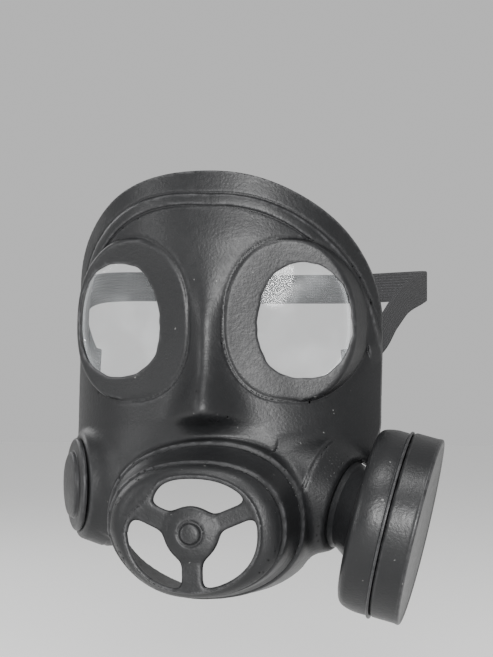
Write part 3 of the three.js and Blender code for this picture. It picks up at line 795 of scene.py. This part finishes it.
drum = {
    "innerRadius": 40.6, "outerRadius": 41.4, "thickness": 28.5, "seam": 15.5, "wall": 2,
    "fillet": 6, "beadRise": 0.75, "gap": 0.3,
}


def drumPieces(material):
    r, out, w = drum["innerRadius"], drum["outerRadius"], drum["wall"]
    at = drum["seam"]
    seam, bead = r + (out - r) * at / drum["thickness"], drum["beadRise"]
    inner = [(0.05, 0, 0), (14, 0, 0), (r - 12, 0, 3), (r - 2, 0.4, drum["fillet"]), (r + 0.1, 7, 4),
             (seam - 0.3, at - 2.6, 0.8), (seam - 0.5, at - 1.7, 0.4),
             (seam + bead, at - 1.2, 0.5), (seam + bead, at - 0.2, 0.3),
             (seam - w, at, 0.3), (r - w, drum["fillet"], 3), (r - 6, w, 3), (0.05, w, 0)]
    turnedPiece("drumInner", inner, boss["drumSeat"], drumAxis, material, "canister_inner",
                uneven=0.3, seed=2)
    length = drum["thickness"] - at
    outer = [(seam - w, 0, 0), (seam - 0.5, 0, 0.3), (seam + 0.1, 0.9, 0.6), (out - 0.2, length - 2.2, 1),
             (out + 0.1, length - 1.2, 0.6), (out - 0.2, length - 0.2, 0.7), (out - 1.5, length, 0.5),
             (out - 3, length - 0.5, 0.7), (out - 16, length - 1.1, 4), (0.05, length - 1.3, 0)]
    seat = np.array(boss["drumSeat"]) + drumAxis * (at + drum["gap"])
    turnedPiece("drumOuter", outer, seat, drumAxis, material, "canister_outer",
                uneven=0.3, seed=2)


neckPipe = {
    "gap": 0.3, "collarRadius": 19.4, "collarLength": 2.5, "radius": 19.2, "sections": 26,
    "steps": 96,
}


def neckPiece(material):
    steps = neckPipe["steps"]
    start = np.array(boss["neckSeat"]) + neckAxis * neckPipe["gap"]
    middle = np.array(boss["neckSeat"]) + neckAxis * (neckPipe["gap"] + neckPipe["collarLength"])
    end = np.array(boss["drumSeat"]) - drumAxis * neckPipe["gap"]

    def circle(centre, axis, radius):
        across = np.cross([0, 0, 1.0], axis)
        across /= np.linalg.norm(across)
        up = np.cross(axis, across)
        turn = np.linspace(0, 2 * math.pi, steps, endpoint=False)
        return centre + np.outer(radius * np.cos(turn), across) + np.outer(radius * np.sin(turn), up)
    rings = [circle(start, neckAxis, 0.05), circle(start, neckAxis, neckPipe["collarRadius"] - 0.4),
             circle(start + neckAxis * 0.4, neckAxis, neckPipe["collarRadius"])]
    for t in np.linspace(0, 1, neckPipe["sections"]):
        axis = neckAxis * (1 - t) + drumAxis * t
        axis /= np.linalg.norm(axis)
        shape = t * t * (3 - 2 * t)
        radius = neckPipe["collarRadius"] * 0.97 * (1 - shape) + neckPipe["radius"] * shape
        rings.append(circle(middle * (1 - t) + end * t, axis, radius))
    rings.append(circle(end, drumAxis, 0.05))
    faces = ringFaces(len(rings), steps)
    piece = meshObject("canisterNeck", np.concatenate(rings) * toMetre, faces, True)
    fixNormals(piece.data)
    count = len(piece.data.vertices)
    paint(piece, "worn", np.zeros(count))
    paint(piece, "cavity", np.zeros(count))
    piece.data.materials.append(material)
    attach(piece, "root")
    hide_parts("canister_neck")
    print("canisterNeck", len(faces) * 2, "triangles")


lens = {
    "gap": 0.3, "thickness": 0.4, "lap": 3, "bow": 1.4, "rings": 14, "steps": 96,
    "outerBand": -0.7,
    # the rim alpha makes the film whiter and less clear at its rim: its rough-cut edge, and a painted
    # highlight where that edge catches light
    "tint": (0.80, 0.83, 0.85), "alpha": 0.035, "cutEdgeAndGlintAlpha": 0.16, "smearAlpha": 0.05,
    "smearScale": 45, "roughness": 0.06, "smearRough": 0.1, "cutEdgeAndGlintFrom": 0.92,
}


def filmMaterial():
    material, wire, place = newMaterial("clearFilm")
    edge = wire.attribute("edge")
    smear = wire.clouds(place, lens["smearScale"], 3).above(0.45, 0.75)
    # painted highlight: whiter and less clear towards the rim, partly for the film's rough-cut edge
    alpha = lens["alpha"] + edge * lens["cutEdgeAndGlintAlpha"] + smear * lens["smearAlpha"]
    return finishMaterial(material, wire, {
        "Base Color": lens["tint"], "Roughness": smear * lens["smearRough"] + lens["roughness"],
        "Alpha": alpha, "Specular IOR Level": 1.0,
    })


def lensPiece(name, side, node, material):
    low = eye["spacing"] / 2 - eye["halfWidth"] - lens["lap"]
    high = eye["spacing"] / 2 + eye["halfWidth"] + lens["outerBand"]
    wide, tall = (high - low) / 2, eye["halfHeight"] + lens["lap"]
    turn = np.linspace(0, 2 * math.pi, lens["steps"], endpoint=False)
    across = np.sign(np.cos(turn)) * np.abs(np.cos(turn)) ** (2 / eye["power"])
    up = np.sign(np.sin(turn)) * np.abs(np.sin(turn)) ** (2 / eye["power"])
    points, edge = [], []
    for sheet in (0, 1):
        for ring in range(1, lens["rings"] + 1):
            share = ring / lens["rings"]
            x = (low + high) / 2 + share * wide * across * (1 - eye["taper"] * up * share)
            z = share * tall * up
            behind = face["wall"] + lens["gap"] + sheet * lens["thickness"]
            y = eyePlane(x) + behind - lens["bow"] * (1 - share ** 2)
            points += list(np.stack([side * x, y, z], 1))
            # the band at the rim that carries the rough-cut edge and the painted highlight
            edge += [max(0, (share - lens["cutEdgeAndGlintFrom"]) / (1 - lens["cutEdgeAndGlintFrom"]))] * lens["steps"]
    half = len(points) // 2
    faces = []
    for sheet in (0, 1):
        base = sheet * half
        faces += ringFaces(lens["rings"], lens["steps"], base)
        faces.append(tuple(base + i for i in range(lens["steps"])))
    rim = half - lens["steps"]
    for i in range(lens["steps"]):
        k = (i + 1) % lens["steps"]
        faces.append((rim + i, rim + k, half + rim + k, half + rim + i))
    piece = meshObject(name, np.array(points) * toMetre, faces, True)
    paint(piece, "edge", np.array(edge))
    fixNormals(piece.data)
    piece.data.materials.append(material)
    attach(piece, "root")
    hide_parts(node)
    print(name, "made")


strap = {
    "width": 14, "thickness": 1.4, "headLength": 191, "templeRoom": 8, "rise": 16, "drop": 20, "steps": 300,
    "dark": (0.010, 0.010, 0.011), "light": (0.035, 0.035, 0.037), "roughness": 0.85,
    "ribPitch": 1.1, "cordPitch": 1.3, "fuzzScale": 900, "bump": 0.9, "bumpDepth": 0.0003,
}
roundHead = [   # share of the route; shares of the half width, the length behind the hem and the rise
    (0.15, 0.88, 0.1, -0.45), (0.22, 0.925, 0.165, 0.1), (0.32, 0.97, 0.26, 0.6), (0.48, 1, 0.44, 0.9),
    (0.64, 0.93, 0.66, 1), (0.8, 0.7, 0.86, 1), (0.91, 0.35, 0.97, 0.95), (1, 0, 1, 0.95),
]


def sheetPoint(x, z, depth):   # a point at a depth under the outer side of the face
    step = 0.5
    slopeX = (faceDepth(x + step, z) - faceDepth(x - step, z)) / (2 * step)
    slopeZ = (faceDepth(x, z + step) - faceDepth(x, z - step)) / (2 * step)
    inward = np.array([-slopeX, 1, -slopeZ])
    return np.array([x, faceDepth(x, z), z]) + depth * inward / np.linalg.norm(inward)


def strapRoute():
    inset = face["wall"] + drum["gap"] + strap["thickness"] / 2
    foot = sheetPoint(0.83 * face["halfWidth"], -strap["drop"], inset)
    leave = sheetPoint(0.9 * face["halfWidth"], -0.92 * strap["drop"], inset)
    halfWidth = face["halfWidth"] + strap["templeRoom"]
    rows = [(0, *foot), (0.05, *leave)]
    behind = strap["headLength"] - leave[1]
    for at, wide, long, rise in roundHead:
        rows.append((at, wide * halfWidth, leave[1] + long * behind, rise * strap["rise"]))
    return rows


def elasticMaterial():
    material, wire, place = newMaterial("wovenElastic")
    along = wire.attribute("along")
    cross = wire.attribute("across")
    ribs = wire.maths("SINE", along * (2 * math.pi / strap["ribPitch"]))
    cords = wire.maths("SINE", cross * (2 * math.pi / strap["cordPitch"]))
    weave = ribs * 0.5 + cords * 0.5
    fuzz = wire.clouds(place, strap["fuzzScale"], 3)
    tone = wire.tint(weave * 0.3 + 0.35 + fuzz * 0.3, strap["dark"], strap["light"])
    bump = wire.node("ShaderNodeBump", {}, {"Strength": strap["bump"], "Distance": strap["bumpDepth"],
                                            "Height": weave + fuzz * 0.5})
    return finishMaterial(material, wire, {
        "Base Color": tone, "Roughness": strap["roughness"], "Normal": bump,
    })


def strapPiece(material):
    rows = strapRoute()
    shares = np.linspace(-1, 1, strap["steps"] + 1)

    def place(share):
        at = 1 - np.abs(share)
        return np.stack([np.sign(share) * tableValue(rows, 1, at), tableValue(rows, 2, at),
                         tableValue(rows, 3, at)], -1)
    centre = place(shares)
    ahead = place(np.minimum(shares + 0.01, 1)) - place(np.maximum(shares - 0.01, -1))
    ahead /= np.linalg.norm(ahead, axis=1)[:, None]
    out = np.stack([ahead[:, 1], -ahead[:, 0], np.zeros(len(ahead))], 1)
    out /= np.linalg.norm(out, axis=1)[:, None]
    up = np.cross(ahead, out)
    length = np.concatenate([[0], np.cumsum(np.linalg.norm(np.diff(centre, axis=0), axis=1))])
    t, w = strap["thickness"] / 2, strap["width"] / 2
    section = []
    widths = np.linspace(-w + 0.5, w - 0.5, 13)
    section += [(-t, v) for v in widths] + [(-t * 0.4, w), (t * 0.4, w)]
    section += [(t, v) for v in widths[::-1]] + [(t * 0.4, -w), (-t * 0.4, -w)]
    count = len(section)
    points, along, across = [], [], []
    for i in range(len(shares)):
        ends = 0.35 if i in (0, len(shares) - 1) else 1
        for thick, wide in section:
            points.append(centre[i] + out[i] * thick * ends + up[i] * wide)
            along.append(length[i])
            across.append(wide)
    faces = ringFaces(len(shares), count)
    faces.append(tuple(range(count)))
    faces.append(tuple((len(shares) - 1) * count + j for j in range(count)))
    piece = meshObject("headStrap", np.array(points) * toMetre, faces, True)
    paint(piece, "along", np.array(along))
    paint(piece, "across", np.array(across))
    fixNormals(piece.data)
    piece.data.materials.append(material)
    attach(piece, "root")
    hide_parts("head_strap")
    print("strap length", round(float(length[-1])), "mm")


makeCamera()
makeStudio()
print("camera and studio made")
maskRubber = rubberMaterial("maskRubber", 1, 1)
drumRubber = rubberMaterial("drumRubber", 1.12, 0.9)
facePiece(maskRubber)
capPiece(maskRubber)
neckPiece(drumRubber)
drumPieces(drumRubber)
clearFilm = filmMaterial()
lensPiece("lensLeft", 1, "lens_left", clearFilm)
lensPiece("lensRight", -1, "lens_right", clearFilm)
strapPiece(elasticMaterial())
